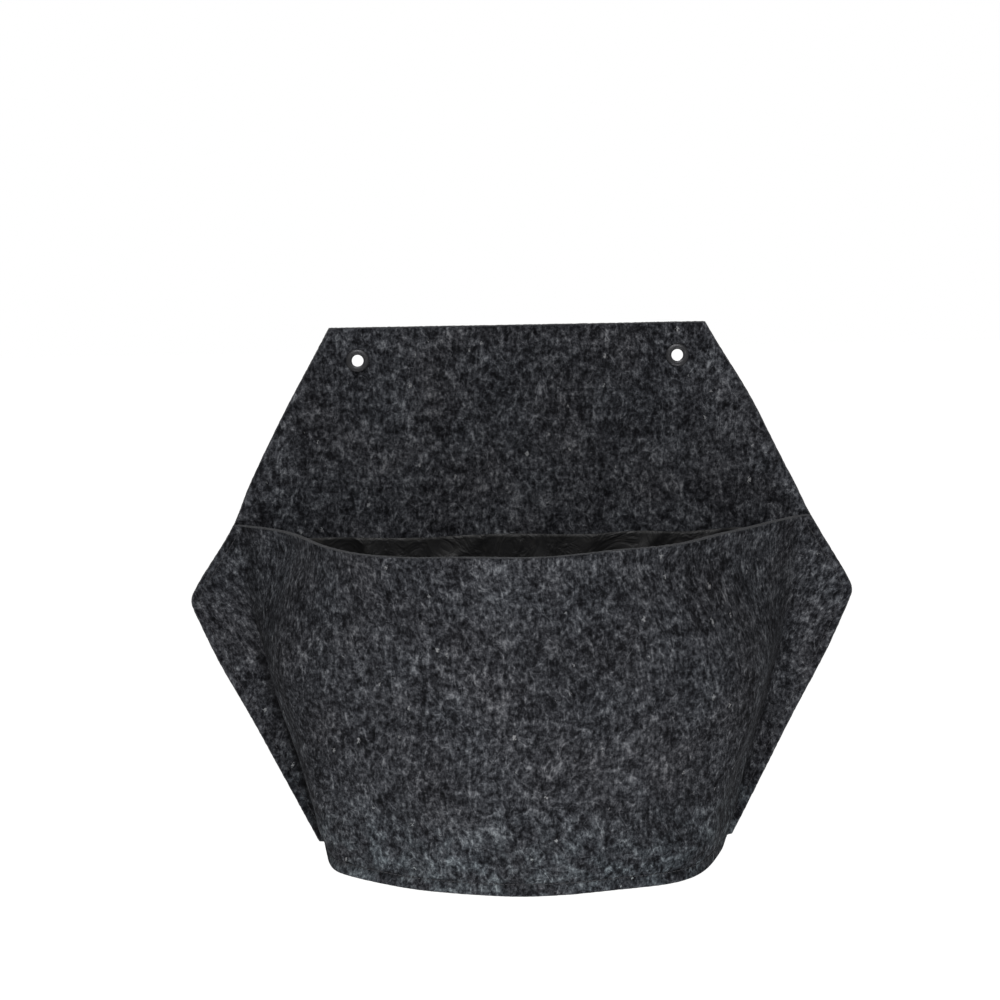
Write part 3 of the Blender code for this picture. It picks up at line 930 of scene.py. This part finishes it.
def stitch_row(name, path, normals, lifts=0.00022):
    """Lock stitches along a path: short twisted threads that rise from the felt and go back in."""
    steps = np.linalg.norm(np.diff(path, axis=0), axis=1)
    along = np.concatenate([[0], np.cumsum(steps)])
    count = int(along[-1] / STITCH_PITCH)
    start = (along[-1] - count * STITCH_PITCH) / 2
    points, faces = [], []
    theta = np.linspace(0, 2 * math.pi, THREAD_SIDES, endpoint=False)
    t = np.linspace(-1, 1, THREAD_RINGS)
    rng = np.random.default_rng(len(name))
    for n in range(count):
        centre = start + (n + 0.5) * STITCH_PITCH
        at = centre + t * STITCH_LENGTH / 2
        line = np.stack([np.interp(at, along, path[:, k]) for k in range(3)], axis=1)
        normal = np.stack([np.interp(at, along, normals[:, k]) for k in range(3)], axis=1)
        normal /= np.linalg.norm(normal, axis=1, keepdims=True)
        tangent = np.gradient(line, axis=0)
        tangent /= np.linalg.norm(tangent, axis=1, keepdims=True)
        side = np.cross(tangent, normal)
        lean = rng.uniform(-0.12, 0.12) * THREAD
        height = lifts * (1 - np.abs(t) ** 2.6) - THREAD * 1.1 * np.abs(t) ** 5
        middle = line + normal * height[:, None] + side * (lean * (1 - t**2) * 3 + t * lean)[:, None]
        radius = THREAD * (1 - 0.25 * np.abs(t) ** 4)
        twist = at * 2 * math.pi / 0.0016
        ply = 1 + 0.16 * np.cos(2 * (theta[None, :] - twist[:, None]))
        around = radius[:, None] * ply
        ring = (
            middle[:, None, :]
            + normal[:, None, :] * (around * np.cos(theta))[:, :, None]
            + side[:, None, :] * (around * np.sin(theta))[:, :, None]
        )
        base = sum(len(p) for p in points)
        points.append(ring.reshape(-1, 3))
        index = np.arange(THREAD_RINGS * THREAD_SIDES).reshape(THREAD_RINGS, THREAD_SIDES) + base
        for upper, lower in zip(index, index[1:]):
            faces.append(np.stack([upper, np.roll(upper, -1), np.roll(lower, -1), lower], axis=1))
        points.append(middle[[0, -1]])
        low, high = base + ring.size // 3, base + ring.size // 3 + 1
        ends = np.full(THREAD_SIDES, low), np.full(THREAD_SIDES, high)
        faces.append(np.stack([ends[0], ends[0], np.roll(index[0], -1), index[0]], axis=1))
        faces.append(np.stack([ends[1], ends[1], index[-1], np.roll(index[-1], -1)], axis=1))
    return np.concatenate(points), np.concatenate(faces)


def stitch_piece(name, rows_of, node):
    points, faces, start = [], [], 0
    for path, normals in rows_of:
        p, f = stitch_row(name, path, normals)
        points.append(p)
        faces.append(f + start)
        start += len(p)
    piece = mesh_object(name, np.concatenate(points), np.concatenate(faces), [THREAD_BLACK])
    declare(piece, "thread", node)
    return piece


def surface_path(points, normals, grid, level):
    """The run across a grid of points at one height of its flat rows."""
    heights = grid[:, 0, 2]
    row = np.interp(level, heights[::-1], np.arange(len(heights))[::-1])
    low = int(row)
    share = row - low
    shape = grid.shape[:2]
    p = points.reshape(*shape, 3)
    q = normals.reshape(*shape, 3)
    return p[low] * (1 - share) + p[low + 1] * share, q[low] * (1 - share) + q[low + 1] * share


def side_path(points, normals, grid, sign):
    """The run down a side flange, a seam's margin in from the cut edge."""
    path, directions = [], []
    p = points.reshape(*grid.shape[:2], 3)
    q = normals.reshape(*grid.shape[:2], 3)
    for n in range(len(grid)):
        z = grid[n, 0, 2]
        if z > RIM_Z - 0.003 or z < LIP_Z + 0.004:
            continue
        edge = left_outline(z) if sign < 0 else right_outline(z)
        x = sign * (edge - SIDE_SEAM_MARGIN / 0.89)
        row = grid[n, :, 0]
        path.append([np.interp(x, row, p[n, :, k]) for k in range(3)])
        directions.append([np.interp(x, row, q[n, :, k]) for k in range(3)])
    return np.array(path), np.array(directions)


front_normals = vertex_normals(front_points, front_faces)
seam_path, seam_normals = surface_path(front_points, front_normals, front_rows, SEAM_Z)
pocket_only = slice(FLANGE_STEPS + 2, -FLANGE_STEPS - 2)
stitch_piece(
    "base_front_stitches", [(seam_path[pocket_only], seam_normals[pocket_only])], "base_front_seam"
)
behind = np.array([0.0, 1.0, 0.0])
for side_name, sign in (("left", -1), ("right", 1)):
    path, normals = side_path(front_points, front_normals, front_rows, sign)
    rear = path.copy()
    rear[:, 1] = -0.00072
    stitch_piece(
        side_name + "_side_stitches",
        [(path, normals), (rear, np.broadcast_to(behind, rear.shape))],
        side_name + "_side_seam",
    )
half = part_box("base_back_seam")[1].x
rear_x = np.linspace(-half, half, 200)
rear = np.column_stack([rear_x, np.full(200, -0.00072), np.full(200, SEAM_Z)])
stitch_piece("base_back_stitches", [(rear, np.broadcast_to(behind, rear.shape))], "base_back_seam")

# ---- eyelets ---------------------------------------------------------------------------------------

TURN_STEPS = 72
EYELET_PROFILE = [
    (0.00400, 0.0012), (0.00400, 0.0041), (0.00440, 0.0048), (0.00540, 0.0051), (0.00660, 0.0050),
    (0.00755, 0.0046), (0.00800, 0.0041), (0.00775, 0.0037), (0.00640, 0.0038), (0.00490, 0.0037),
    (0.00470, 0.0030), (0.00470, 0.0018), (0.00520, 0.0011), (0.00600, 0.0010), (0.00650, 0.0007),
    (0.00630, 0.0002), (0.00530, 0.0001), (0.00430, 0.0004),
]


def rounded(profile, times):
    """Chaikin's corner cutting on a closed profile."""
    p = np.array(profile)
    for _ in range(times):
        after = np.roll(p, -1, axis=0)
        p = np.stack([0.75 * p + 0.25 * after, 0.25 * p + 0.75 * after], axis=1).reshape(-1, 2)
    return p


def turned(name, profile, centre, times, slot_node):
    """A ring turned about an axis square to the wall from a closed (radius, distance from wall) profile."""
    p = rounded(profile, times)
    angle = np.linspace(0, 2 * math.pi, TURN_STEPS, endpoint=False)
    x = centre.x + p[:, 0] * np.cos(angle)[:, None]
    z = centre.z + p[:, 0] * np.sin(angle)[:, None]
    y = np.broadcast_to(-p[:, 1], x.shape)
    points = np.stack([x, y, z], axis=-1).reshape(-1, 3)
    n = np.arange(x.size).reshape(x.shape)
    after, up = np.roll(n, -1, axis=0), np.roll(n, -1, axis=1)
    faces = np.stack([n, up, np.roll(after, -1, axis=1), after], axis=-1).reshape(-1, 4)
    ring = mesh_object(name, points, faces, [METAL])
    declare(ring, "eyelet_metal", slot_node)
    return ring


for side_name, centre in zip(("left", "right"), EYELETS):
    turned(side_name + "_eyelet_ring", EYELET_PROFILE, centre, 2, side_name + "_eyelet")
    low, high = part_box(side_name + "_eyelet_washer")
    front, rear = -low.y, -high.y
    washer = [
        (0.0053, rear), (0.0053, front), (0.0074, front + 0.0001), (0.0078, front - 0.0002),
        (0.0078, rear),
    ]
    turned(side_name + "_eyelet_washer_ring", washer, centre, 1, side_name + "_eyelet_washer")

# ---- stage -----------------------------------------------------------------------------------------

FLOOR_Z = -2.6
floor_mesh = bpy.data.meshes.new("floor")
corners = [(x, y, FLOOR_Z) for x, y in ((-60, -60), (60, -60), (60, 60), (-60, 60))]
floor_mesh.from_pydata(corners, [], [(0, 1, 2, 3)])
floor = bpy.data.objects.new("floor", floor_mesh)
bpy.context.scene.collection.objects.link(floor)
paper = Nodes("pale_floor")
seen = paper.add("ShaderNodeLightPath").outputs["Is Camera Ray"]
strength = paper.spread(seen, 0.0, 1.0, 0.10, 0.85, smooth=False)
paper.put(paper.shader.inputs["Emission Strength"], strength)
glow = {"Emission Color": (1.0, 1.0, 1.0, 1.0)}
floor_mesh.materials.append(paper.finish((0.86, 0.86, 0.86, 1.0), 0.9, **glow))

world = bpy.data.worlds.new("studio")
bpy.context.scene.world = world
world.use_nodes = True
sky = world.node_tree
background = sky.nodes["Background"]
background.inputs["Color"].default_value = (1.0, 1.0, 1.0, 1.0)
rays = sky.nodes.new("ShaderNodeLightPath")
level = sky.nodes.new("ShaderNodeMapRange")
level.inputs["To Min"].default_value = 0.25
level.inputs["To Max"].default_value = 1.0
sky.links.new(rays.outputs["Is Camera Ray"], level.inputs["Value"])
sky.links.new(level.outputs["Result"], background.inputs["Strength"])


def add_light(name, place, target, size, power):
    light = bpy.data.lights.new(name, "AREA")
    light.shape = "RECTANGLE"
    light.size, light.size_y = size
    light.energy = power
    obj = bpy.data.objects.new(name, light)
    obj.location = place
    obj.rotation_euler = (Vector(target) - Vector(place)).to_track_quat("-Z", "Y").to_euler()
    bpy.context.scene.collection.objects.link(obj)
    return obj


add_light("low", (0.02, -0.75, -0.78), (0.0, -0.12, -0.34), (0.5, 0.3), 3.3)
add_light("top", (0.10, -1.9, 0.9), (0.0, 0.0, -0.10), (0.8, 0.6), 5)
add_light("upper", (-0.15, -0.8, 0.8), (0.0, 0.0, 0.0), (0.5, 0.3), 4.0)
add_light("rear", (0.5, 1.9, 0.7), (0.0, 0.0, -0.15), (1.2, 0.9), 14)

camera_data = bpy.data.cameras.new("camera")
camera_data.lens = 83.47
camera_data.sensor_width = 36.0
camera = bpy.data.objects.new("camera", camera_data)
bpy.context.scene.collection.objects.link(camera)
PITCH = math.radians(6.19)
ROLL = math.radians(1.05)
camera.matrix_world = (
    Matrix.Translation((-0.0138, -1.6, 0.075))
    @ Matrix.Rotation(math.radians(90) - PITCH, 4, "X")
    @ Matrix.Rotation(-ROLL, 4, "Z")
)
bpy.context.scene.camera = camera
bpy.context.scene.view_settings.view_transform = "Standard"
bpy.context.scene.view_settings.look = "None"
